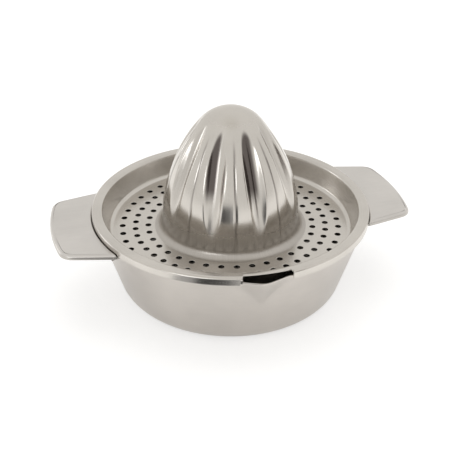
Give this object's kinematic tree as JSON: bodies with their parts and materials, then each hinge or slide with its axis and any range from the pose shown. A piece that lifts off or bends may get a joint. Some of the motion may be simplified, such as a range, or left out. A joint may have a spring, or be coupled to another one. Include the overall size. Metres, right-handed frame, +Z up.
{
  "type": "citrus squeezer",
  "caption": "Hand citrus squeezer of steel sheet: a fluted reamer on a perforated dish that lifts off a spouted bowl with flat side handles.",
  "frame": {"origin": "centre of the bowl's flat base, on the surface that the squeezer stands on", "axes": "+Z up along the reamer's axis, +X along the two handles, -Y towards the pouring spout"},
  "size_m": [0.1772, 0.1392, 0.095],
  "materials": {
    "bowl_steel": "satin polished stainless steel sheet",
    "handle_steel": "satin polished stainless steel sheet",
    "plate_steel": "bright polished stainless steel sheet"
  },
  "bodies": {
    "bowl": {"bowl": "bowl_steel", "right_handle": "handle_steel", "left_handle": "handle_steel"},
    "plate": {"reamer": "plate_steel", "strainer_dish": "plate_steel"}
  },
  "joints": [
    {"name": "plate_lift", "type": "slide", "parent": "bowl", "child": "plate", "axis": [0, 0, 1], "range_m": [0, 0.05]}
  ]
}
